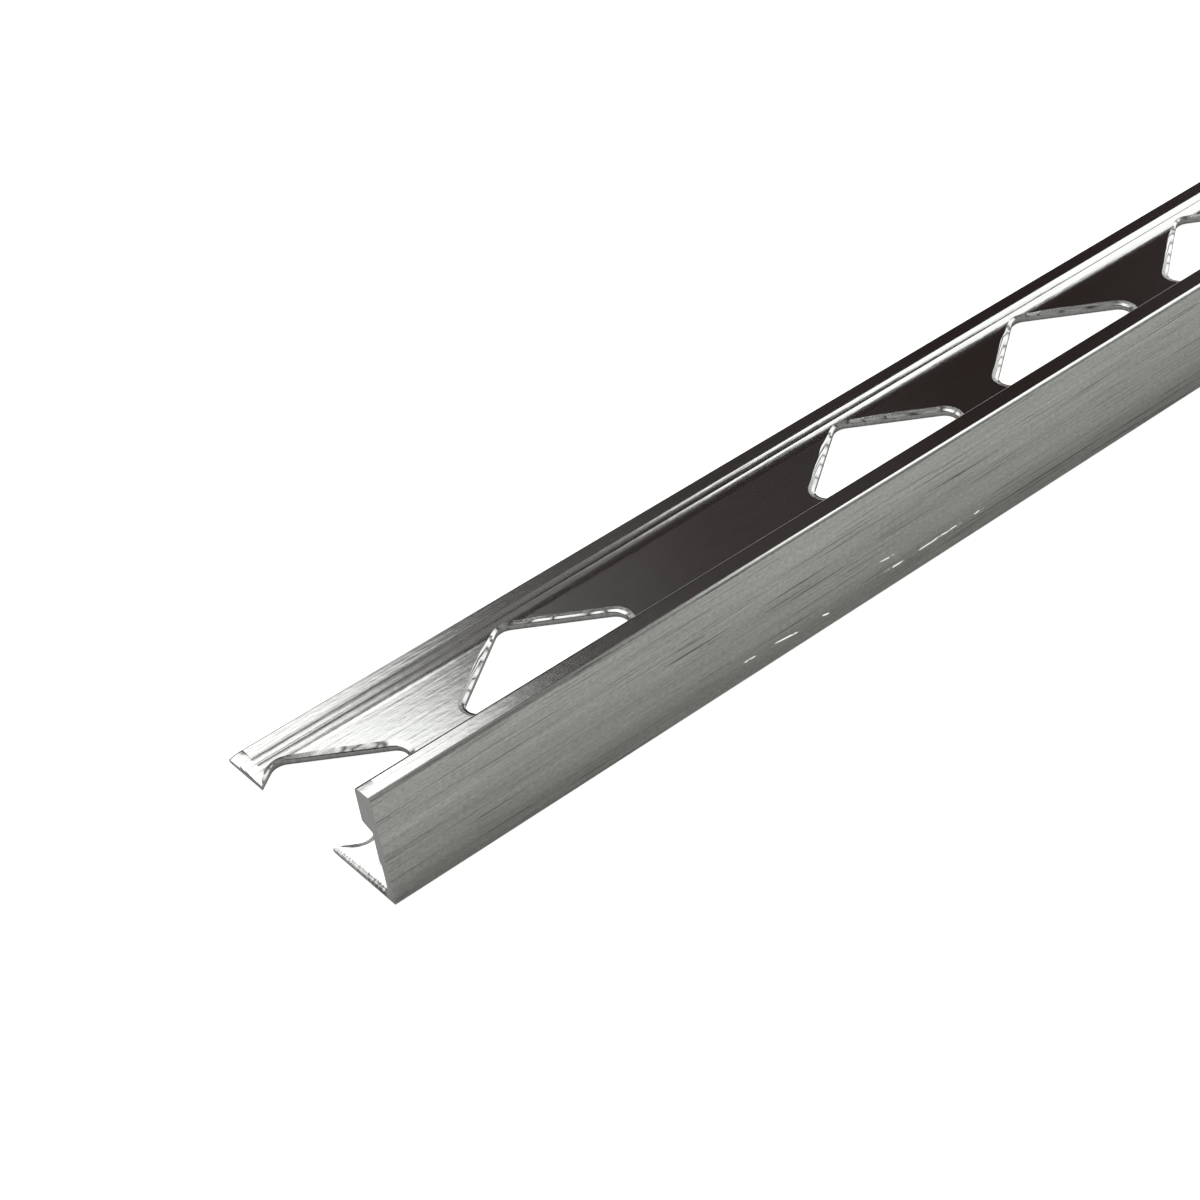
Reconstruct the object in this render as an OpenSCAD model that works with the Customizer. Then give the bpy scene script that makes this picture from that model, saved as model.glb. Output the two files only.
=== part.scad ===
// Straight-edge tile trim: one extruded length of aluminium with a punched anchoring leg.
// The trim lies on its leg. X runs along the length from the sawn end, Y from the front face
// to the leg's far edge and Z up. The origin is the middle of the underside.

/* [Stock] */
// Length of the piece, as sold
length = 1000; // [300:10:2500]
// Height of the upright, which is the tile thickness it finishes
height = 10; // [9:0.5:15]
// Width of the anchoring leg from the front face to its far edge
leg_w = 21.7; // [20:0.1:30]
// Thickness of the anchoring leg
leg_t = 0.65; // [0.5:0.05:1.5]

/* [Upright] */
// Thickness of the wall below the head
wall_t = 0.85; // [0.7:0.05:1.5]
// Thickness of the wall's foot, where its inner face is relieved
foot_t = 0.65; // [0.5:0.05:0.85]
// Height of the relieved foot above the underside
foot_h = 3.3; // [2:0.1:4]
// Height over which the foot widens to the wall
foot_ease = 0.4; // [0.2:0.1:0.6]
// Thickness of the head that shows beside the tile
head_t = 2; // [1.6:0.1:3]
// Height of the head at its back face
head_h = 3.2; // [2:0.1:3.6]
// Drop of the head's slanted underside from its back face to the wall
head_drop = 0.4; // [0.2:0.05:0.6]
// Radius of the head's front top edge
head_front_r = 0.35; // [0.1:0.05:0.5]
// Radius of the head's back top edge
head_back_r = 0.35; // [0.1:0.05:0.6]
// Radius of the fillet between the wall's foot and the leg
root_r = 0.5; // [0.2:0.1:1]

/* [Ribs] */
// Ribs side by side near the leg's far edge
rib_count = 2; // [1:1:3]
// Distance from the crest of one rib to the next
rib_step = 0.9; // [0.7:0.05:1.5]
// Height of a rib above the leg
rib_h = 0.18; // [0.12:0.01:0.3]
// Flat crest of a rib
rib_crest = 0.1; // [0.05:0.01:0.2]
// Steepest slope of the hollow ramp that rises to a crest, in degrees
rib_slope = 12.6; // [8:0.1:25]
// Width over which the ramp turns from level to that slope
rib_ease = 0.98; // [0.4:0.02:1.2]
// Width of the plain strip between the ribs and the far edge
strip_w = 1.7; // [1:0.05:2.5]
// Thickness of that strip
strip_t = 0.5; // [0.4:0.05:0.65]
// Radius of the strip's far top edge
edge_r = 0.2; // [0.1:0.05:0.4]

/* [Punching] */
// Length of a diamond hole along the trim
hole_len = 15.4; // [10:0.1:18]
// Width of a diamond hole across the leg
hole_w = 11.9; // [8:0.1:12]
// Corner radius of a diamond hole
hole_r = 1.2; // [0.5:0.1:2]
// Centre distance of neighbouring holes in a group
hole_pitch = 21.3; // [20:0.1:30]
// Centre distance across the plain gap between two groups
group_step = 36; // [31:0.5:60]
// Holes in a full group
group_holes = 8; // [2:1:12]
// Holes left of the group that the sawn end cuts through
first_group = 2; // [1:1:6]
// Distance from the sawn end to the centre of the hole that it cuts
first_hole = 2.2; // [0:0.1:7]
// Distance from the holes' far tips to the near rib's crest
hole_rim = 0.77; // [0.5:0.01:2]
// Least plain length after the last hole
end_web = 5; // [2:1:20]

/* [Hidden] */
$fn = 64;

// Overlap of joined shapes, and the overrun of a cutter past a face
over = 0.2;

// How far a straight side runs inside the circles that it joins, so that it crosses them cleanly
bite = 0.005;

// Where the head's slanted underside meets its back face and the wall
head_back_z = height - head_h;
head_wall_z = head_back_z - head_drop;

// Places of the crests, and the whole width of a ramp
far_lip_y = leg_w - strip_w;
near_crest_y = far_lip_y - (rib_count - 1) * rib_step;
ramp_w = rib_h / tan(rib_slope) + rib_ease / 2;

// Places of the holes, across the leg and along the trim
hole_y = near_crest_y - hole_rim - hole_w / 2;
group_span = (group_holes - 1) * hole_pitch + group_step;
full_groups_x = first_hole + (first_group - 1) * hole_pitch + group_step;
function hole_x(i) =
    i < first_group
        ? first_hole + i * hole_pitch
        : full_groups_x
            + floor((i - first_group) / group_holes) * group_span
            + ((i - first_group) % group_holes) * hole_pitch;
last_hole_x = length - end_web - hole_len / 2;
hole_places = [for (i = [0 : ceil(length / hole_pitch)]) if (hole_x(i) <= last_hole_x) hole_x(i)];

// What rounding a top corner takes away; side is 1 for a right-hand corner and -1 for a left-hand one
module corner_waste(x, y, r, side) {
    translate([x - side * r, y - r])
        mirror([side < 0 ? 1 : 0, 0])
            difference() {
                square(r + over);
                circle(r);
            }
}

// The head, the wall and its relieved foot, seen along the trim
module upright_section() {
    polygon([
        [0, 0], [foot_t, 0], [foot_t, foot_h], [wall_t, foot_h + foot_ease],
        [wall_t, head_wall_z], [head_t, head_back_z], [head_t, height], [0, height]
    ]);
}

// Height of a ramp above the leg, at a distance from where it starts
function ramp_z(d) =
    d < rib_ease ? tan(rib_slope) * d * d / (2 * rib_ease) : tan(rib_slope) * (d - rib_ease / 2);

// Corners of one rib from the far edge of its crest down its ramp, which stops where the next rib stands
ease_steps = 4;
function rib_points(crest_y, ramp_end) =
    let (start_y = crest_y - rib_crest - ramp_w)
    concat(
        [[crest_y, leg_t + rib_h], [crest_y - rib_crest, leg_t + rib_h]],
        [
            for (i = [ease_steps : -1 : 1])
                let (d = rib_ease * i / ease_steps)
                if (d > ramp_end + bite) [start_y + d, leg_t + ramp_z(d)]
        ],
        [[start_y + ramp_end, leg_t + ramp_z(ramp_end)]]
    );

// The leg with its thinner far strip and its ribs
module leg_section() {
    cut_ramp = ramp_w + rib_crest - rib_step;
    difference() {
        polygon([
            [0, 0], [leg_w, 0], [leg_w, strip_t], [far_lip_y, strip_t],
            for (i = [0 : rib_count - 1])
                each rib_points(far_lip_y - i * rib_step, i < rib_count - 1 ? cut_ramp : 0),
            [0, leg_t]
        ]);
        corner_waste(leg_w, strip_t, edge_r, 1);
    }
}

// The fillet where the wall's foot meets the leg
module root_section() {
    translate([foot_t, leg_t])
        difference() {
            translate([-over, -over])
                square(root_r + over);
            translate([root_r, root_r])
                circle(root_r);
        }
}

module section() {
    difference() {
        union() {
            upright_section();
            leg_section();
            root_section();
        }
        corner_waste(0, height, head_front_r, -1);
        corner_waste(head_t, height, head_back_r, 1);
    }
}

// A diamond with round corners: four corner circles and the straight sides that join them
module diamond() {
    tip_x = hole_len / 2 - hole_r;
    tip_y = hole_w / 2 - hole_r;
    side = norm([tip_x, tip_y]);
    touch = [tip_y, tip_x] * (hole_r - bite) / side;
    polygon([
        for (q = [[1, 1], [-1, 1], [-1, -1], [1, -1]])
            let (
                along = [q[0] * (tip_x + touch[0]), q[1] * touch[1]],
                across = [q[0] * touch[0], q[1] * (tip_y + touch[1])]
            )
            each q[0] * q[1] > 0 ? [along, across] : [across, along]
    ]);
    for (s = [-1, 1]) {
        translate([s * tip_x, 0])
            circle(hole_r);
        translate([0, s * tip_y])
            circle(hole_r);
    }
}

module trim_profile() {
    color([0.77, 0.78, 0.77])
        translate([-length / 2, -leg_w / 2, 0])
            difference() {
                rotate([90, 0, 90])
                    linear_extrude(length)
                        section();
                for (x = hole_places)
                    translate([x, hole_y, -over])
                        linear_extrude(leg_t + 2 * over)
                            diamond();
            }
}

trim_profile();
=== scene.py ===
"""Tile edge trim: the visual model of a punched aluminium edge profile, and the stage it is shown on."""

import math

import bmesh
import bpy
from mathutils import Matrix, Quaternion, Vector


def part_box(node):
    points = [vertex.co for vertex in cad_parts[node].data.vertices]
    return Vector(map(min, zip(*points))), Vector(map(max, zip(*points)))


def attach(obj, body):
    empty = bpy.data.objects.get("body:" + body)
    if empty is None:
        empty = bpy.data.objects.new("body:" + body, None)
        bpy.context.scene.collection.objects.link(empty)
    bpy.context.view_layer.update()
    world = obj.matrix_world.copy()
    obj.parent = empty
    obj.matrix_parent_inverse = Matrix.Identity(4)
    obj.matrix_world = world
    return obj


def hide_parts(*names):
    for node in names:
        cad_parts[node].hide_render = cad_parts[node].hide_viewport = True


bl_info = {
    "name": "Tile Edge Trim",
    "version": (1, 0, 0),
    "blender": (4, 5, 0),
    "location": "3D View > Sidebar > Tile Trim",
    "description": "Builds a punched aluminium tile edge trim and a studio stage for it",
    "category": "Add Mesh",
}

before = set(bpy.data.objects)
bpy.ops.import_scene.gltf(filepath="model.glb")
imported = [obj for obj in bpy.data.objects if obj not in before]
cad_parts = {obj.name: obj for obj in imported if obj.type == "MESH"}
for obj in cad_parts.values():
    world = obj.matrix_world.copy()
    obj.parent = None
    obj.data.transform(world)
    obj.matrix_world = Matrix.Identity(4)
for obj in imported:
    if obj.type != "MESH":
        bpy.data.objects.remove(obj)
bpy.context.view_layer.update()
LOW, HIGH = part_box("trim_profile")
MM = 0.001


def srgb(code):
    """Turns an sRGB hex colour into a linear colour with full alpha."""
    channels = [int(code[i:i + 2], 16) / 255 for i in (1, 3, 5)]
    linear = [c / 12.92 if c <= 0.04045 else ((c + 0.055) / 1.055) ** 2.4 for c in channels]
    return (*linear, 1.0)


def size_value(name, description, default):
    """A length in metres that shows in the scene's unit."""
    return bpy.props.FloatProperty(
        name=name, description=description, default=default, min=0.0, unit="LENGTH", precision=5)


def colour_value(name, description, code):
    """A colour given as an sRGB hex code."""
    return bpy.props.FloatVectorProperty(
        name=name, description=description, default=srgb(code), size=4, min=0.0, max=1.0, subtype="COLOR")


class TrimSizes(bpy.types.PropertyGroup):
    """Sizes of the trim's section and of its punching."""

    length: size_value("Length", "Length of the piece", HIGH.x - LOW.x)
    height: size_value("Height", "Height of the upright", HIGH.z - LOW.z)
    leg_width: size_value("Leg Width", "From the front face to the leg's far edge", HIGH.y - LOW.y)
    leg_thickness: size_value("Leg Thickness", "Thickness of the anchoring leg", 0.65 * MM)
    wall_thickness: size_value("Wall Thickness", "Thickness of the wall below the head", 0.85 * MM)
    foot_thickness: size_value("Foot Thickness", "Thickness of the wall's relieved foot", 0.65 * MM)
    foot_height: size_value("Foot Height", "Height of the relieved foot", 3.3 * MM)
    foot_ease: size_value("Foot Ease", "Height over which the foot widens to the wall", 0.4 * MM)
    head_thickness: size_value("Head Thickness", "Thickness of the head beside the tile", 2.0 * MM)
    head_height: size_value("Head Height", "Height of the head at its back", 3.2 * MM)
    head_drop: size_value("Head Drop", "Drop of the head's underside towards the wall", 0.4 * MM)
    head_radius: size_value("Head Radius", "Radius of the head's two top edges", 0.35 * MM)
    root_radius: size_value("Root Radius", "Fillet between the foot and the leg", 0.5 * MM)
    rib_step: size_value("Rib Step", "From the crest of one rib to the next", 0.9 * MM)
    rib_height: size_value("Rib Height", "Height of a rib above the leg", 0.18 * MM)
    rib_crest: size_value("Rib Crest", "Flat crest of a rib", 0.1 * MM)
    rib_ease: size_value("Rib Ease", "Width over which a rib's ramp turns to its full slope", 1.392 * MM)
    strip_width: size_value("Strip Width", "Plain strip beyond the ribs", 1.7 * MM)
    strip_thickness: size_value("Strip Thickness", "Thickness of the plain strip", 0.5 * MM)
    edge_radius: size_value("Edge Radius", "Radius of the far top edge", 0.2 * MM)
    hole_length: size_value("Hole Length", "Diamond hole along the trim", 15.4 * MM)
    hole_width: size_value("Hole Width", "Diamond hole across the leg", 11.9 * MM)
    hole_radius: size_value("Hole Radius", "Corner radius of a diamond hole", 1.2 * MM)
    hole_pitch: size_value("Hole Pitch", "Centre distance in a group of holes", 21.3 * MM)
    hole_rim: size_value("Hole Rim", "From the holes to the near rib's crest", 0.77 * MM)
    group_step: size_value("Group Step", "Centre distance across the gap between groups", 36.0 * MM)
    first_hole: size_value("First Hole", "From the sawn end to the hole that it cuts", 2.2 * MM)
    end_web: size_value("End Web", "Least plain length after the last hole", 5.0 * MM)
    roll_width: size_value("Roll Width", "Width of the rim that the punch drew down", 0.55 * MM)
    roll_depth: size_value("Roll Depth", "Depth of the rim that the punch drew down", 0.22 * MM)
    rim_wander: size_value("Rim Wander", "How far a punched rim strays", 0.05 * MM)
    end_roll: size_value("End Roll", "Length over which the saw bent the leg's edge down", 1.2 * MM)
    end_drop: size_value("End Drop", "How far the saw bent the leg's edge down", 0.48 * MM)
    rib_slope: bpy.props.FloatProperty(
        name="Rib Slope", description="Steepest slope of a rib's ramp", default=math.radians(14.5),
        subtype="ANGLE")
    first_group: bpy.props.IntProperty(
        name="First Group", description="Holes before the first gap", default=2, min=1)
    group_holes: bpy.props.IntProperty(
        name="Group Holes", description="Holes in a full group", default=8, min=2)


class TrimFinishes(bpy.types.PropertyGroup):
    """Colours of the trim's surfaces and of the stage."""

    mill: colour_value("Mill Finish", "Extruded surface, as it leaves the die", "#E2E4E1")
    front: colour_value("Brushed Front", "Satin front face", "#DBDED7")
    front_streak: colour_value("Front Streak", "Dark drag lines on the front", "#8A8C87")
    # Painted highlight: the scratches' near-white colour stands in for the light they catch
    scratch_highlight: colour_value("Front Scratch", "Bright scratches on the front", "#FBFCFA")
    sawn: colour_value("Sawn Face", "Sawn ends", "#CACAC8")
    # Painted shade: a dark colour that stands in for the shade falling in the punched rims' creases
    shaded_crease: colour_value("Rim Crease", "Creases in the punched rims", "#50504D")
    sheared: colour_value("Sheared Wall", "Punched hole walls", "#C4C4C1")
    floor: colour_value("Floor", "Studio floor, as the camera sees it", "#FFFFFF")
    floor_paint: colour_value("Floor Paint", "Matt paint that the lamps light on the floor", "#E7E7E7")
    room: colour_value("Room", "Dim room round the stage", "#281F1D")


# Small shared helpers


def add_node(tree, kind, inputs=None, **settings):
    """Adds a node, sets its properties, and fills inputs by name or number with values or links."""
    node = tree.nodes.new(kind)
    count = len(tree.nodes)
    node.location = (220 * (count % 10), -260 * (count // 10))
    for key, value in settings.items():
        setattr(node, key, value)
    for key, value in (inputs or {}).items():
        if isinstance(value, bpy.types.NodeSocket):
            tree.links.new(value, node.inputs[key])
        else:
            node.inputs[key].default_value = value
    return node


def calc(tree, operation, *values, kind="ShaderNodeMath", **settings):
    """The result of a node that works on these values or links, a math node unless another is named."""
    return add_node(tree, kind, dict(enumerate(values)), operation=operation, **settings).outputs[0]


def compare(tree, operation, first, second):
    """Whether one number is greater or less than another."""
    return calc(tree, operation, first, second, kind="FunctionNodeCompare")


def logic(tree, operation, first, second):
    """Two yes-or-no fields joined by AND or OR."""
    return calc(tree, operation, first, second, kind="FunctionNodeBooleanMath")


def scaled(tree, vector, factor):
    """A vector or colour times a factor."""
    node = add_node(tree, "ShaderNodeVectorMath", {0: vector, "Scale": factor}, operation="SCALE")
    return node.outputs[0]


def link_object(name, data):
    """Puts a new object with this data in the scene."""
    obj = bpy.data.objects.new(name, data)
    bpy.context.scene.collection.objects.link(obj)
    return obj


# Section and punch outlines


def arc(centre, radius, start, end, steps):
    """Points of a circular arc, from one angle to another in degrees."""
    angles = [math.radians(start + (end - start) * i / steps) for i in range(steps + 1)]
    return [(centre[0] + radius * math.cos(a), centre[1] + radius * math.sin(a)) for a in angles]


def hole_centre_y(s):
    """Y of the holes' centres, from the front face."""
    near_crest = s.leg_width - s.strip_width - s.rib_step
    return near_crest - s.hole_rim - s.hole_width / 2


def ramp_height(s, distance):
    """Height of a rib's hollow ramp above the leg, at a distance from where it starts."""
    rise = math.tan(s.rib_slope)
    if distance < s.rib_ease:
        return rise * distance ** 2 / (2 * s.rib_ease)
    return rise * (distance - s.rib_ease / 2)


def ribbed_top(s):
    """Top of the leg from the far strip over the two ribs to the plain leg, as points with falling Y."""
    soft = 0.03 * MM
    ease_steps = 20
    top = s.leg_thickness
    far_lip = s.leg_width - s.strip_width
    ramp = s.rib_height / math.tan(s.rib_slope) + s.rib_ease / 2
    points = [(far_lip, s.strip_thickness)]
    # The far rib's ramp stops where the near rib stands
    for crest, stop in ((far_lip, ramp + s.rib_crest - s.rib_step), (far_lip - s.rib_step, 0.0)):
        start = crest - s.rib_crest - ramp
        points += arc((crest - soft, top + s.rib_height - soft), soft, 0, 90, steps=3)
        points.append((crest - s.rib_crest, top + s.rib_height))
        places = [s.rib_ease * i / ease_steps for i in range(ease_steps, 0, -1)]
        places = [d for d in places if d > stop + soft] + [stop]
        points += [(start + d, top + ramp_height(s, d)) for d in places]
    return points


def section_outline(s):
    """The section's points, counter-clockwise seen against X, from the front face and the underside."""
    crisp = 0.06 * MM
    head_lip = 2 * crisp
    head_lip_rise = 1.6 * crisp
    head_back_z = s.height - s.head_height
    head_wall_z = head_back_z - s.head_drop
    slant = math.degrees(math.atan2(s.head_drop, s.head_thickness - s.wall_thickness))
    edge, root, head = s.edge_radius, s.root_radius, s.head_radius
    points = arc((crisp, crisp), crisp, 180, 270, steps=3)
    points += arc((s.leg_width - crisp, crisp), crisp, 270, 360, steps=3)
    points += arc((s.leg_width - edge, s.strip_thickness - edge), edge, 0, 90, steps=8)
    points += ribbed_top(s)
    points += arc((s.foot_thickness + root, s.leg_thickness + root), root, 270, 180, steps=8)
    points += [
        (s.foot_thickness, s.foot_height),
        (s.wall_thickness, s.foot_height + s.foot_ease),
        (s.wall_thickness, head_wall_z),
    ]
    head_lip_centre = (s.head_thickness - head_lip, head_back_z + head_lip_rise)
    points += arc(head_lip_centre, head_lip, slant - 90, 0, steps=4)
    points += arc((s.head_thickness - head, s.height - head), head, 0, 90, steps=8)
    points += arc((head, s.height - head), head, 90, 180, steps=10)
    return points


def end_roll_weight(s, y, z):
    """How much of the bend at the sawn end a point of the section takes: the leg only, least by the ribs."""
    rib_share, strip_share = 0.25, 0.5
    leg_top = s.leg_thickness + 0.5 * s.root_radius
    leg_start = 1.5 * s.foot_thickness
    if z >= leg_top or y <= leg_start:
        return 0.0
    far_lip = s.leg_width - s.strip_width
    share = strip_share if y > far_lip else 1.0 - (1.0 - rib_share) * y / far_lip
    return share * min(z / s.leg_thickness, 1.0)


def side_points(start, end, steps):
    """Points between two corners of a diamond, without the corners."""
    return [tuple(a + (b - a) * i / steps for a, b in zip(start, end)) for i in range(1, steps)]


def diamond_outline(s, grow):
    """A round-cornered diamond grown by an offset, counter-clockwise, with even points on its sides."""
    corner_steps, side_steps = 8, 24
    tip_x = s.hole_length / 2 - s.hole_radius
    tip_y = s.hole_width / 2 - s.hole_radius
    turn = math.degrees(math.atan2(tip_x, tip_y))
    radius = s.hole_radius + grow
    corners = (
        ((tip_x, 0), 0, turn),
        ((0, tip_y), 90, 90 - turn),
        ((-tip_x, 0), 180, turn),
        ((0, -tip_y), 270, 90 - turn),
    )
    points = []
    for centre, middle, half in corners:
        bend = arc(centre, radius, middle - half, middle + half, corner_steps)
        if points:
            points += side_points(points[-1], bend[0], side_steps)
        points += bend
    return points + side_points(points[-1], points[0], side_steps)


def punch_rings(s):
    """Height, offset and wander weight of the punch's outlines, from below the leg to above it."""
    below, above = 0.3 * MM, 0.4 * MM
    breakout, shear = 0.05 * MM, 0.02 * MM
    lip = s.leg_thickness - s.roll_depth
    shear_start = 0.4 * lip
    rings = [(-below, breakout, 0.0), (0.0, breakout, 0.0), (shear_start, shear, 0.0), (lip, 0.0, 0.0)]
    # The drawn rim turns over a tight lip into a straight bevel, which runs out of the leg's top. Each pair
    # is a share of the rim's width and of its depth below the top
    tight_lip = ((0.02, 0.86), (0.06, 0.74), (0.11, 0.66), (0.18, 0.6))
    bevel = ((0.5, 0.366), (1.15, -0.11))
    for reach, depth in tight_lip + bevel:
        rings.append((s.leg_thickness - s.roll_depth * depth, s.roll_width * reach, min(reach, 1.0)))
    rings.append((s.leg_thickness + above, rings[-1][1], 1.0))
    return rings


def rim_share(s, y):
    """How much of the drawn rim's width a point of a hole has: less towards the far tip, by the ribs."""
    narrowest, full_until = 0.35, 0.72
    past = (y / (s.hole_width / 2) - full_until) / (1 - full_until)
    return 1 - (1 - narrowest) * min(max(past, 0.0), 1.0)


def punch_mesh(s):
    """The space a punch leaves: broken out below, sheared in the middle and drawn down at the top."""
    mesh = bpy.data.meshes.new("punch")
    bm = bmesh.new()
    rim = bm.verts.layers.float.new("rim")
    along = bm.verts.layers.float.new("along")
    travel = [0.0]
    edge = diamond_outline(s, 0.0)
    for start, end in zip(edge, edge[1:]):
        travel.append(travel[-1] + math.dist(start, end))
    loops = []
    for z, grow, weight in punch_rings(s):
        loop = []
        for (x, y), (far_x, far_y), distance in zip(edge, diamond_outline(s, grow), travel):
            share = rim_share(s, y) if weight else 1.0
            vert = bm.verts.new((x + (far_x - x) * share, y + (far_y - y) * share, z))
            vert[rim] = weight * share
            vert[along] = distance
            loop.append(vert)
        loops.append(loop)
    count = len(loops[0])
    for lower, upper in zip(loops, loops[1:]):
        for i in range(count):
            j = (i + 1) % count
            bm.faces.new((lower[i], lower[j], upper[j], upper[i]))
    bm.faces.new(list(reversed(loops[0])))
    bm.faces.new(loops[-1])
    bm.to_mesh(mesh)
    bm.free()
    return mesh


# Materials

# Numbers of the Mix node's two inputs and its output, for each kind of data
MIX_SOCKETS = {"VECTOR": (4, 5, 1), "RGBA": (6, 7, 2)}


def new_material(name):
    """A material with an empty node tree, and the tree."""
    material = bpy.data.materials.new(name)
    material.use_nodes = True
    tree = material.node_tree
    tree.nodes.clear()
    return material, tree


def object_coords(tree):
    """Place on the piece, in metres from its origin."""
    return add_node(tree, "ShaderNodeTexCoord").outputs["Object"]


def noise(tree, cell_mm, detail, roughness=0.5):
    """Noise in cells of this size along X, Y and Z, in millimetres."""
    scale = tuple(1 / (size * MM) for size in cell_mm)
    cells = add_node(tree, "ShaderNodeMapping", {"Vector": object_coords(tree), "Scale": scale})
    return add_node(tree, "ShaderNodeTexNoise", {
        "Vector": cells.outputs["Vector"], "Scale": 1.0, "Detail": detail, "Roughness": roughness,
    }).outputs["Fac"]


def remapped(tree, value, old, new):
    """A value moved from one range to another and held inside it."""
    return add_node(tree, "ShaderNodeMapRange", {
        "Value": value, "From Min": old[0], "From Max": old[1], "To Min": new[0], "To Max": new[1],
    }).outputs["Result"]


def blended(tree, share, first, second, data_type="RGBA"):
    """One colour or vector turned into another by a share."""
    a, b, out = MIX_SOCKETS[data_type]
    node = add_node(tree, "ShaderNodeMix", {0: share, a: first, b: second}, data_type=data_type)
    return node.outputs[out]


def bumped(tree, pattern, depth, under=None):
    """The normal of a surface that a pattern raises by up to this depth, over another normal if given."""
    inputs = {"Strength": 1.0, "Distance": depth, "Height": pattern}
    if under is not None:
        inputs["Normal"] = under
    return add_node(tree, "ShaderNodeBump", inputs).outputs["Normal"]


def bare_metal(tree, colour, roughness, normal):
    """Ends a material's tree in a metal surface."""
    shader = add_node(tree, "ShaderNodeBsdfPrincipled", {
        "Metallic": 1.0, "Base Color": colour, "Roughness": roughness, "Normal": normal})
    add_node(tree, "ShaderNodeOutputMaterial", {"Surface": shader.outputs["BSDF"]})


def mill_finish_material(finish):
    """Mill-finish aluminium, extruded: bright, with faint die lines along the length and a fine grain."""
    material, tree = new_material("mill_finish_aluminium")
    # Die lines run along the extrusion, about a quarter of a millimetre apart
    die_lines = noise(tree, (9, 0.25, 0.25), detail=1.0)
    # The grain of the extruded skin is finer than this and is drawn coarser, so that it shows
    grain = noise(tree, (1.2, 0.45, 0.45), detail=2.0)
    lined = bumped(tree, die_lines, 0.004 * MM)
    shade = remapped(tree, die_lines, (0.3, 0.7), (0.96, 1.03))
    colour = scaled(tree, finish.mill[:3], shade)
    bare_metal(tree, colour, roughness=0.13, normal=bumped(tree, grain, 0.005 * MM, under=lined))
    return material


def drawn_rim_material(finish):
    """Drawn-down rim of a punched hole: bright, and scalloped where the punch slipped and caught, with
    painted shade darkening the creases between scallops.
    """
    material, tree = new_material("drawn_rim_aluminium")
    scallop, shaded_crease = 1.7 * MM, 0.2 * MM
    unevenness = 1.6 * scallop
    along = add_node(tree, "ShaderNodeAttribute", attribute_name="along").outputs["Fac"]
    shifted = calc(tree, "MULTIPLY_ADD", noise(tree, (2.6, 2.6, 2.6), detail=2.0), unevenness, along)
    # Distance to the nearest crease between two scallops, and a narrow peak there that dents the rim and
    # also marks where painted shade darkens it
    nearest = calc(tree, "PINGPONG", shifted, scallop / 2)
    crease_and_shade = calc(tree, "EXPONENT", calc(tree, "MULTIPLY", nearest, -1 / shaded_crease))
    creased = bumped(tree, crease_and_shade, -0.02 * MM)
    rough_skin = noise(tree, (0.25, 0.25, 0.25), detail=2.0)
    # Painted shade: the creases take a dark colour that stands in for the shade falling in them
    colour = blended(tree, crease_and_shade, finish.mill, finish.shaded_crease)
    bare_metal(tree, colour, roughness=0.2, normal=bumped(tree, rough_skin, 0.006 * MM, under=creased))
    return material


# Scratches on the front, drawn with a painted highlight: start and end as distance from the sawn end and
# height, in millimetres
FRONT_SCRATCHES = (
    ((50.1, 1.71), (56.6, 1.83)),
    ((56.9, 1.83), (58.4, 1.82)),
    ((47.1, 1.73), (49.7, 1.68)),
    ((46.7, 2.99), (48.6, 2.81)),
    ((35.5, 1.66), (38.9, 1.26)),
    ((32.3, 1.67), (34.2, 1.59)),
    ((40.7, 1.40), (41.6, 1.18)),
)


def scratch_mask(tree):
    """Where the front is scratched: thin ellipses broken up along their length."""
    half_width = 0.09 * MM
    coords = object_coords(tree)
    mask = 0.0
    for (x0, z0), (x1, z1) in FRONT_SCRATCHES:
        middle = (LOW.x + (x0 + x1) / 2 * MM, 0.0, LOW.z + (z0 + z1) / 2 * MM)
        half_length = math.hypot(x1 - x0, z1 - z0) / 2 * MM
        turn = (0.0, -math.atan2(z1 - z0, x1 - x0), 0.0)
        local = add_node(tree, "ShaderNodeMapping", {
            "Vector": coords, "Location": middle, "Rotation": turn, "Scale": (half_length, 1.0, half_width)},
            vector_type="TEXTURE")
        ellipse = add_node(tree, "ShaderNodeTexGradient", {
            "Vector": local.outputs["Vector"]}, gradient_type="SPHERICAL")
        mask = calc(tree, "MAXIMUM", mask, ellipse.outputs["Fac"])
    broken = remapped(tree, noise(tree, (0.7, 1, 0.2), detail=2.0), (0.4, 0.55), (0.0, 4.0))
    return calc(tree, "MULTIPLY", mask, broken, use_clamp=True)


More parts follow.
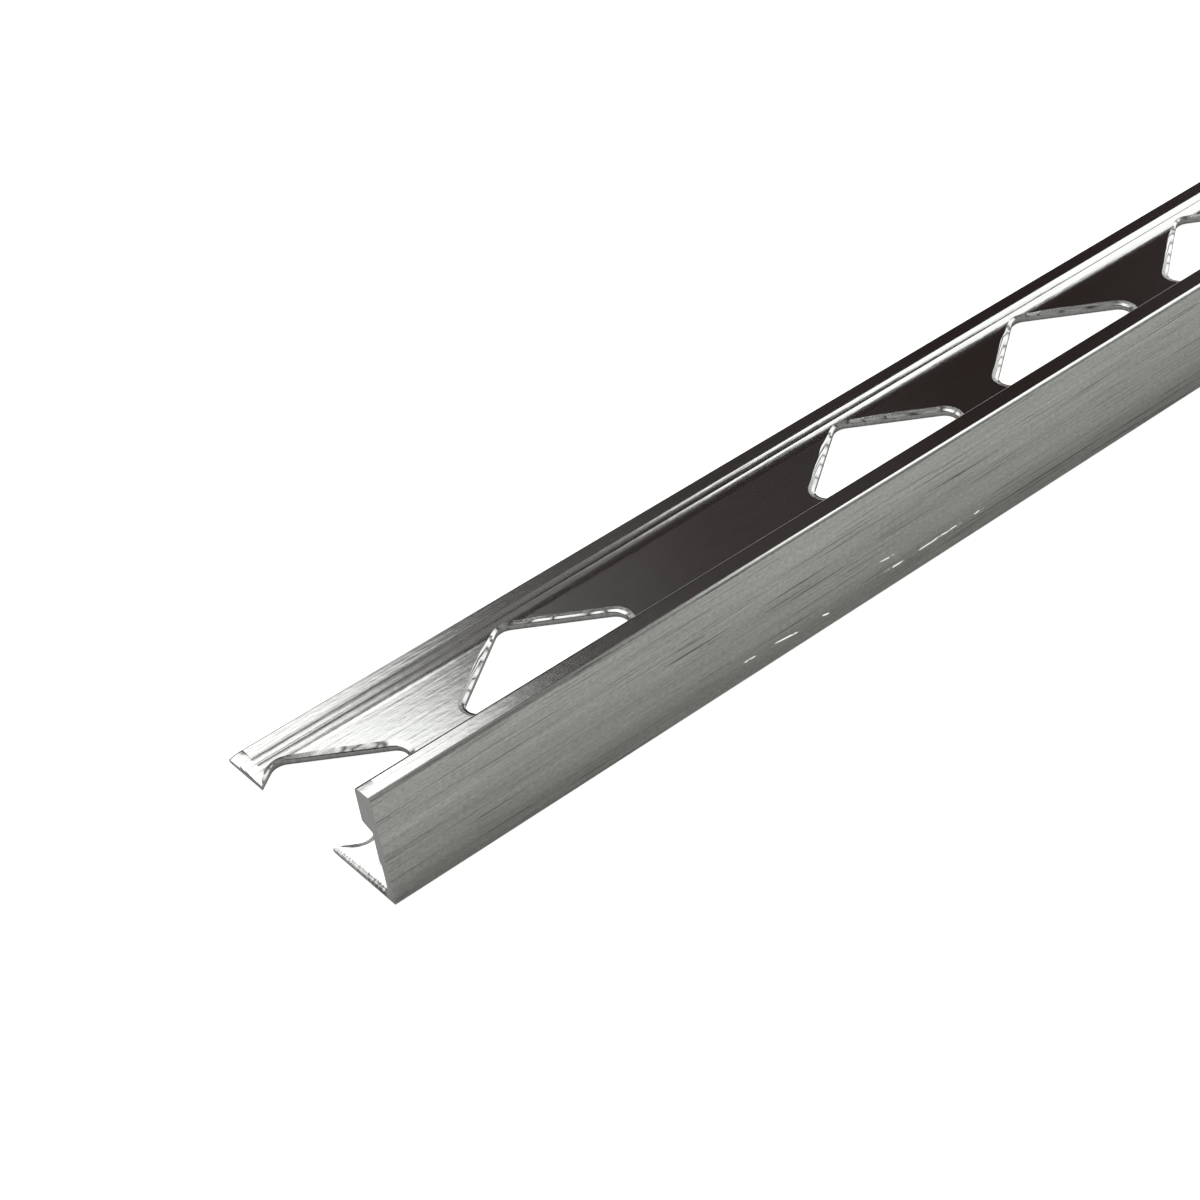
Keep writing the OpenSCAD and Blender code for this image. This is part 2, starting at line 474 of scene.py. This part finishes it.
def brushed_front_material(finish):
    """Brushed satin aluminium: a soft grey with broad bands, drag lines, a grain and a few scratches, which
    carry a painted highlight.
    """
    material, tree = new_material("brushed_front_aluminium")
    bands = noise(tree, (60, 1, 1.8), detail=1.0)
    soft_lines = noise(tree, (12, 1, 0.3), detail=2.0)
    # The satin grain is finer than this and is drawn coarser, so that it shows
    grain = noise(tree, (0.4, 0.4, 0.14), detail=2.0)
    # Drag lines a few millimetres long come in patches
    drag_lines = noise(tree, (9, 1, 0.13), detail=2.0, roughness=0.4)
    patches = noise(tree, (26, 1, 2.4), detail=1.0)
    deep = remapped(tree, drag_lines, (0.32, 0.42), (1.0, 0.0))
    dense = remapped(tree, patches, (0.4, 0.6), (0.2, 1.0))
    colour = blended(tree, calc(tree, "MULTIPLY", deep, dense), finish.front, finish.front_streak)
    for layer, reach in ((bands, 0.2), (soft_lines, 0.2), (grain, 0.35)):
        colour = scaled(tree, colour, remapped(tree, layer, (0.0, 1.0), (1 - reach, 1 + reach)))
    scratch_and_highlight = scratch_mask(tree)
    lined = bumped(tree, drag_lines, 0.003 * MM)
    # The burr along a scratch faces up and catches the light from above
    burr = (0.15, -0.47, 0.87)
    # The scratches' near-white colour is a painted highlight; their upturned burr and lower roughness are
    # real
    bare_metal(
        tree, blended(tree, scratch_and_highlight, colour, finish.scratch_highlight),
        roughness=remapped(tree, scratch_and_highlight, (0.0, 1.0), (0.4, 0.3)),
        normal=blended(tree, scratch_and_highlight, lined, burr, "VECTOR"))
    return material


def cut_material(name, colour, mark_mm, shades):
    """Dull aluminium with marks of this size, darker and lighter between these shades."""
    material, tree = new_material(name)
    marks = noise(tree, mark_mm, detail=3.0)
    shade = remapped(tree, marks, (0.3, 0.7), shades)
    bare_metal(tree, scaled(tree, colour[:3], shade), roughness=0.45, normal=bumped(tree, marks, 0.01 * MM))
    return material


def sawn_material(finish):
    """Sawn aluminium: a dull grey face with fine parallel tooth marks."""
    return cut_material("sawn_aluminium", finish.sawn, (1, 0.12, 3), (0.8, 1.1))


def sheared_material(finish):
    """Sheared aluminium: the grey wall of a punched hole, scored from top to bottom."""
    return cut_material("sheared_aluminium", finish.sheared, (0.3, 0.3, 2), (0.82, 1.12))


# The trim's node tree


def hole_place(s, i):
    """Distance of a hole's centre from the sawn end."""
    gaps = (i - s.first_group) // s.group_holes + 1
    return s.first_hole + i * s.hole_pitch + gaps * (s.group_step - s.hole_pitch)


def hole_count(s):
    """How many holes fit before the plain length at the far end."""
    last = s.length - s.end_web - s.hole_length / 2
    count = 0
    while hole_place(s, count) <= last:
        count += 1
    return count


def joined_vector(tree, **parts):
    """A vector made of its X, Y and Z."""
    return add_node(tree, "ShaderNodeCombineXYZ", parts).outputs["Vector"]


def kept_value(tree, name):
    """A number that the mesh keeps under a name."""
    node = add_node(tree, "GeometryNodeInputNamedAttribute", {"Name": name}, data_type="FLOAT")
    return node.outputs["Attribute"]


def pushed_out(tree, mesh, offset):
    """The outputs of an extrusion of a whole mesh along an offset."""
    return add_node(tree, "GeometryNodeExtrudeMesh", {
        "Mesh": mesh, "Offset": offset, "Offset Scale": 1.0, "Individual": False}).outputs


def extruded_stock(tree, given):
    """The section extruded along X, with the leg's edge bent down at the sawn end."""
    steps = 8
    weld = 0.001 * MM
    run = calc(tree, "SUBTRACT", given["Length"], given["End Roll"])
    body = pushed_out(tree, given["Geometry"], joined_vector(tree, X=run))["Mesh"]

    # Short steps the other way close the sawn end and bend the leg's edge down along a parabola. Each one
    # pushes the earlier ones on, so the outermost comes first. The last joins the body and is straight
    weight = kept_value(tree, "end_roll")
    back = calc(tree, "MULTIPLY", given["End Roll"], -1 / (steps + 1))
    end = add_node(tree, "GeometryNodeFlipFaces", {"Mesh": given["Geometry"]}).outputs["Mesh"]
    for i in range(steps, -1, -1):
        before, after = max(i - 1, 0) / steps, i / steps
        down = calc(tree, "MULTIPLY", given["End Drop"], before ** 2 - after ** 2)
        drop = calc(tree, "MULTIPLY", down, weight)
        ring = pushed_out(tree, end, joined_vector(tree, X=back))
        end = add_node(tree, "GeometryNodeSetPosition", {
            "Geometry": ring["Mesh"], "Selection": ring["Top"], "Offset": joined_vector(tree, Z=drop),
        }).outputs["Geometry"]
    shell = add_node(tree, "GeometryNodeJoinGeometry")
    for part in (body, end):
        tree.links.new(part, shell.inputs["Geometry"])
    return add_node(tree, "GeometryNodeMergeByDistance", {
        "Geometry": shell.outputs["Geometry"], "Distance": weld}).outputs["Geometry"]


def punch_row(tree, given):
    """A punch at each hole, in a row with a wider gap before each full group."""
    index = add_node(tree, "GeometryNodeInputIndex").outputs["Index"]
    past = calc(tree, "SUBTRACT", index, given["First Group"])
    full_groups = calc(tree, "FLOOR", calc(tree, "DIVIDE", past, given["Group Holes"]))
    gaps = calc(tree, "ADD", full_groups, 1.0)
    spare = calc(tree, "SUBTRACT", given["Group Step"], given["Hole Pitch"])
    widened = calc(tree, "MULTIPLY_ADD", gaps, spare, given["First Hole"])
    from_end = calc(tree, "MULTIPLY_ADD", index, given["Hole Pitch"], widened)
    from_middle = calc(tree, "MULTIPLY_ADD", given["Length"], -0.5, from_end)
    row = add_node(tree, "GeometryNodeMeshLine", {"Count": given["Hole Count"]})
    places = add_node(tree, "GeometryNodeSetPosition", {
        "Geometry": row.outputs["Mesh"],
        "Position": joined_vector(tree, X=from_middle, Y=given["Hole Row"]),
    })
    punch = add_node(tree, "GeometryNodeObjectInfo", {"Object": given["Punch"]})
    stamps = add_node(tree, "GeometryNodeInstanceOnPoints", {
        "Points": places.outputs["Geometry"], "Instance": punch.outputs["Geometry"]})
    return add_node(tree, "GeometryNodeRealizeInstances", {
        "Geometry": stamps.outputs["Instances"]}).outputs["Geometry"]


def worn_punches(tree, given, punches):
    """Punches whose drawn rims stray a little in and out, with their faces marked as punched."""
    noise_middle, noise_swing = 0.5, 0.25
    wander = add_node(tree, "ShaderNodeTexNoise", {"Scale": given["Wander Scale"], "Detail": 1.0})
    centred = calc(
        tree, "SUBTRACT", wander.outputs["Color"], (noise_middle,) * 3, kind="ShaderNodeVectorMath")
    level = calc(tree, "MULTIPLY", centred, (1.0, 1.0, 0.0), kind="ShaderNodeVectorMath")
    reach = calc(tree, "MULTIPLY", kept_value(tree, "rim"), given["Rim Wander"])
    stray = scaled(tree, level, calc(tree, "MULTIPLY", reach, 1 / noise_swing))
    worn = add_node(tree, "GeometryNodeSetPosition", {"Geometry": punches, "Offset": stray})
    return add_node(tree, "GeometryNodeStoreNamedAttribute", {
        "Geometry": worn.outputs["Geometry"], "Name": "punched", "Value": 1.0},
        data_type="FLOAT", domain="FACE").outputs["Geometry"]


def shaded_mesh(tree, given, mesh):
    """Curved strips shade smoothly; broad flat faces, corners and punched rims keep their own normals."""
    corner_angle = math.radians(32)
    angle = add_node(tree, "GeometryNodeInputMeshEdgeAngle").outputs["Unsigned Angle"]
    corner = compare(tree, "GREATER_THAN", angle, corner_angle)
    area = add_node(tree, "GeometryNodeInputMeshFaceArea").outputs["Area"]
    broad = add_node(tree, "GeometryNodeFieldOnDomain", {
        0: calc(tree, "GREATER_THAN", area, given["Broad Face"])}, data_type="FLOAT", domain="FACE")
    # A mark on faces is averaged on the edges, so it is near a half where one side only has it
    half, near = 0.5, 0.2
    flat_edge = calc(tree, "COMPARE", broad.outputs[0], half, near)
    rim_edge = calc(tree, "COMPARE", kept_value(tree, "punched"), half, near)
    sharp = logic(tree, "OR", corner, logic(tree, "OR", flat_edge, rim_edge))
    smooth = add_node(tree, "GeometryNodeSetShadeSmooth", {
        "Geometry": mesh, "Shade Smooth": True}, domain="FACE")
    return add_node(tree, "GeometryNodeSetShadeSmooth", {
        "Geometry": smooth.outputs["Geometry"], "Selection": sharp, "Shade Smooth": False},
        domain="EDGE").outputs["Geometry"]


def finish_choices(tree):
    """Which faces take each finish, from how they were made; a later choice covers an earlier one."""
    front_limit, sawn_limit, steep_limit = -0.6, 0.99, 0.5
    normal = add_node(tree, "GeometryNodeInputNormal").outputs["Normal"]
    facing = add_node(tree, "ShaderNodeSeparateXYZ", {"Vector": normal}).outputs
    in_hole = compare(tree, "GREATER_THAN", kept_value(tree, "punched"), 0.5)
    steep = compare(tree, "LESS_THAN", facing["Z"], steep_limit)
    return {
        "mill": True,
        "front": compare(tree, "LESS_THAN", facing["Y"], front_limit),
        "sawn": compare(tree, "GREATER_THAN", calc(tree, "ABSOLUTE", facing["X"]), sawn_limit),
        "rim": in_hole,
        "sheared": logic(tree, "AND", in_hole, steep),
    }


def profile_tree(inputs, materials):
    """Geometry Nodes that extrude the section, punch its holes and give each face its finish."""
    tree = bpy.data.node_groups.new("trim_profile_nodes", "GeometryNodeTree")
    tree.interface.new_socket("Geometry", in_out="INPUT", socket_type="NodeSocketGeometry")
    for name, (kind, _) in inputs.items():
        tree.interface.new_socket(name, in_out="INPUT", socket_type=kind)
    tree.interface.new_socket("Geometry", in_out="OUTPUT", socket_type="NodeSocketGeometry")
    given = add_node(tree, "NodeGroupInput").outputs
    stock = extruded_stock(tree, given)
    punches = worn_punches(tree, given, punch_row(tree, given))
    punched = add_node(tree, "GeometryNodeMeshBoolean", {
        "Mesh 1": stock, "Mesh 2": punches}, operation="DIFFERENCE", solver="EXACT")
    shaded = shaded_mesh(tree, given, punched.outputs["Mesh"])
    result = add_node(tree, "GeometryNodeRealizeInstances", {"Geometry": shaded}).outputs["Geometry"]
    for key, selection in finish_choices(tree).items():
        result = add_node(tree, "GeometryNodeSetMaterial", {
            "Geometry": result, "Selection": selection, "Material": materials[key]}).outputs["Geometry"]
    add_node(tree, "NodeGroupOutput", {"Geometry": result})
    return tree


def made_solid(obj, tree, inputs):
    """Runs a node tree on an object, keeps the result as its plain mesh and removes the modifier."""
    modifier = obj.modifiers.new("nodes", "NODES")
    modifier.node_group = tree
    sockets = {item.name: item.identifier for item in tree.interface.items_tree if item.in_out == "INPUT"}
    for name, (_, value) in inputs.items():
        modifier[sockets[name]] = value
    depsgraph = bpy.context.evaluated_depsgraph_get()
    mesh = bpy.data.meshes.new_from_object(obj.evaluated_get(depsgraph), depsgraph=depsgraph)
    obj.modifiers.remove(modifier)
    mesh.name = obj.name
    obj.data = mesh
    if not mesh.polygons:
        raise RuntimeError(f"{obj.name} came out empty")


def section_mesh(s):
    """The section as one face where the bend at the sawn end starts, with each point's share of the bend."""
    mesh = bpy.data.meshes.new("trim_section")
    outline = section_outline(s)
    points = [(LOW.x + s.end_roll, LOW.y + y, LOW.z + z) for y, z in outline]
    mesh.from_pydata(points, [], [range(len(points))])
    weights = mesh.attributes.new("end_roll", "FLOAT", "POINT")
    weights.data.foreach_set("value", [end_roll_weight(s, y, z) for y, z in outline])
    return mesh


class TRIM_OT_profile(bpy.types.Operator):
    """Builds the punched trim in place of its plain solid"""

    bl_idname = "tile_trim.profile"
    bl_label = "Build Trim"
    bl_options = {"REGISTER", "UNDO"}

    def execute(self, context):
        s = context.scene.tile_trim_sizes
        finish = context.scene.tile_trim_finishes
        materials = {
            "mill": mill_finish_material(finish),
            "front": brushed_front_material(finish),
            "sawn": sawn_material(finish),
            "rim": drawn_rim_material(finish),
            "sheared": sheared_material(finish),
        }
        wander_cell = 1.5 * MM
        broad_face = 90 * MM ** 2
        mesh = section_mesh(s)
        mesh.materials.append(materials["mill"])
        trim = link_object("edge_trim", mesh)
        punch = link_object("punch", punch_mesh(s))
        inputs = {
            "Punch": ("NodeSocketObject", punch),
            "Length": ("NodeSocketFloat", s.length),
            "End Roll": ("NodeSocketFloat", s.end_roll),
            "End Drop": ("NodeSocketFloat", s.end_drop),
            "Hole Row": ("NodeSocketFloat", LOW.y + hole_centre_y(s)),
            "Hole Pitch": ("NodeSocketFloat", s.hole_pitch),
            "Group Step": ("NodeSocketFloat", s.group_step),
            "First Hole": ("NodeSocketFloat", s.first_hole),
            "First Group": ("NodeSocketInt", s.first_group),
            "Group Holes": ("NodeSocketInt", s.group_holes),
            "Hole Count": ("NodeSocketInt", hole_count(s)),
            "Rim Wander": ("NodeSocketFloat", s.rim_wander),
            "Wander Scale": ("NodeSocketFloat", 1 / wander_cell),
            "Broad Face": ("NodeSocketFloat", broad_face),
        }
        made_solid(trim, profile_tree(inputs, materials), inputs)
        bpy.data.objects.remove(punch)
        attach(trim, "root")
        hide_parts("trim_profile")
        return {"FINISHED"}


# The stage

# Where the camera looks and stands: along the trim from its sawn end, across it from its middle, and up
AIM = Vector((LOW.x + 31.4 * MM, 4.95 * MM, 0.0))
CAMERA_PLACE = Vector((LOW.x - 59.606 * MM, -132.116 * MM, 128.692 * MM))
CAMERA_ROLL = math.radians(-8.99)


def floor_material(finish):
    """Plain matt floor that shows white to the camera, and lights the metal as the lamps light it."""
    camera_glow = 0.9
    material, tree = new_material("studio_floor")
    path = add_node(tree, "ShaderNodeLightPath").outputs
    level = calc(tree, "MULTIPLY", path["Is Camera Ray"], camera_glow)
    glow = add_node(tree, "ShaderNodeEmission", {"Color": finish.floor, "Strength": level})
    matt = add_node(tree, "ShaderNodeBsdfDiffuse", {"Color": finish.floor_paint})
    both = add_node(tree, "ShaderNodeAddShader", {0: glow.outputs[0], 1: matt.outputs[0]})
    add_node(tree, "ShaderNodeOutputMaterial", {"Surface": both.outputs[0]})
    return material


def add_floor(finish):
    """A wide floor just below the trim."""
    reach, gap = 6.0, 0.05 * MM
    mesh = bpy.data.meshes.new("floor")
    mesh.from_pydata(
        [(-reach, -reach, -gap), (reach, -reach, -gap), (reach, reach, -gap), (-reach, reach, -gap)],
        [], [(0, 1, 2, 3)])
    mesh.materials.append(floor_material(finish))
    return link_object("floor", mesh)


def set_world(finish):
    """A dim room for the metal to mirror, and white where the camera looks past the floor."""
    world = bpy.data.worlds.new("studio_room")
    bpy.context.scene.world = world
    world.use_nodes = True
    tree = world.node_tree
    tree.nodes.clear()
    path = add_node(tree, "ShaderNodeLightPath").outputs
    colour = blended(tree, path["Is Camera Ray"], finish.room, finish.floor)
    background = add_node(tree, "ShaderNodeBackground", {"Color": colour, "Strength": 1.0})
    add_node(tree, "ShaderNodeOutputWorld", {"Surface": background.outputs[0]})


def soft_box(name, azimuth, elevation, distance, tilt, width, height, level, shape="RECTANGLE"):
    """A soft box round the aim, upright at no tilt and level at 90; azimuth runs from +Y towards +X."""
    a, e = math.radians(azimuth), math.radians(elevation)
    away = Vector((math.sin(a) * math.cos(e), math.cos(a) * math.cos(e), math.sin(e)))
    data = bpy.data.lights.new(name, "AREA")
    data.shape = shape
    data.size, data.size_y = width, height
    area = width * height * (math.pi / 4 if shape == "ELLIPSE" else 1.0)
    data.energy = level * math.pi * area
    lamp = link_object(name, data)
    lamp.location = AIM + away * distance
    lamp.rotation_euler = (math.radians(tilt - 90), 0.0, -a)
    lamp.visible_camera = False


def add_soft_boxes():
    """The lamps, which light the part and show in its mirrors; angles in degrees, sizes in metres."""
    # Behind and to the left, where the level tops by the sawn end and what leans left mirror them
    soft_box(
        "back_box", azimuth=-7.5, elevation=48.4, distance=2.1, tilt=44.9,
        width=2.166, height=0.886, level=1.55, shape="ELLIPSE")
    soft_box(
        "left_box", azimuth=-58.0, elevation=49.1, distance=2.103, tilt=10.0,
        width=1.2, height=1.3, level=1.3)
    # High up behind, where the drawn rims mirror them
    soft_box(
        "high_left_box", azimuth=-12.2, elevation=65.9, distance=2.522, tilt=32.0,
        width=2.4, height=0.46, level=1.3)
    soft_box(
        "high_back_box", azimuth=5.0, elevation=71.0, distance=2.6, tilt=71.0,
        width=1.0, height=0.6, level=1.3)
    # To the right, where the ribs' ramps and the head's front edge mirror it
    soft_box(
        "right_box", azimuth=90.3, elevation=43.85, distance=2.635, tilt=0.0,
        width=2.64, height=3.15, level=1.3)
    # Two faint ones, which draw out the fade to dark along the leg
    soft_box(
        "near_glow_box", azimuth=31.0, elevation=37.3, distance=2.6, tilt=37.3,
        width=0.325, height=0.31, level=0.028)
    soft_box(
        "wide_glow_box", azimuth=35.0, elevation=37.3, distance=2.62, tilt=37.3,
        width=0.617, height=0.31, level=0.024)
    # Plain light from above and from the front
    soft_box(
        "top_box", azimuth=45.0, elevation=90.0, distance=1.6, tilt=90.0,
        width=1.2, height=1.2, level=0.2)
    soft_box(
        "ceiling_box", azimuth=45.0, elevation=90.0, distance=1.62, tilt=90.0,
        width=2.6, height=2.6, level=0.13)
    soft_box(
        "front_box", azimuth=180.0, elevation=40.0, distance=2.0, tilt=40.0,
        width=2.0, height=1.4, level=0.26)


def add_camera():
    """A camera at the photograph's viewing angle."""
    data = bpy.data.cameras.new("camera")
    data.sensor_width = 36.0
    data.lens = 79.43
    data.clip_start = 0.01
    camera = link_object("camera", data)
    camera.location = CAMERA_PLACE
    look = (AIM - camera.location).to_track_quat("-Z", "Y")
    camera.rotation_mode = "QUATERNION"
    camera.rotation_quaternion = look @ Quaternion((0.0, 0.0, 1.0), CAMERA_ROLL)
    return camera


class TRIM_OT_stage(bpy.types.Operator):
    """Builds the floor, the soft boxes and the camera"""

    bl_idname = "tile_trim.stage"
    bl_label = "Build Stage"
    bl_options = {"REGISTER", "UNDO"}

    def execute(self, context):
        scene = context.scene
        finish = scene.tile_trim_finishes
        floor = add_floor(finish)
        set_world(finish)
        add_soft_boxes()
        scene.camera = add_camera()
        scene.view_settings.view_transform = "Standard"
        return {"FINISHED"}


class TRIM_PT_panel(bpy.types.Panel):
    """Lists the trim's pieces, sizes and finishes"""

    bl_idname = "TRIM_PT_panel"
    bl_label = "Tile Edge Trim"
    bl_space_type = "VIEW_3D"
    bl_region_type = "UI"
    bl_category = "Tile Trim"

    def draw(self, context):
        layout = self.layout
        layout.operator(TRIM_OT_profile.bl_idname)
        layout.operator(TRIM_OT_stage.bl_idname)
        for group in (context.scene.tile_trim_sizes, context.scene.tile_trim_finishes):
            box = layout.box()
            for name in group.__annotations__:
                box.prop(group, name)


CLASSES = (TrimSizes, TrimFinishes, TRIM_OT_profile, TRIM_OT_stage, TRIM_PT_panel)


def register():
    for cls in CLASSES:
        bpy.utils.register_class(cls)
    bpy.types.Scene.tile_trim_sizes = bpy.props.PointerProperty(type=TrimSizes)
    bpy.types.Scene.tile_trim_finishes = bpy.props.PointerProperty(type=TrimFinishes)


def unregister():
    del bpy.types.Scene.tile_trim_finishes
    del bpy.types.Scene.tile_trim_sizes
    for cls in reversed(CLASSES):
        bpy.utils.unregister_class(cls)


def main():
    register()
    bpy.ops.tile_trim.stage()
    bpy.ops.tile_trim.profile()


if __name__ == "__main__":
    main()
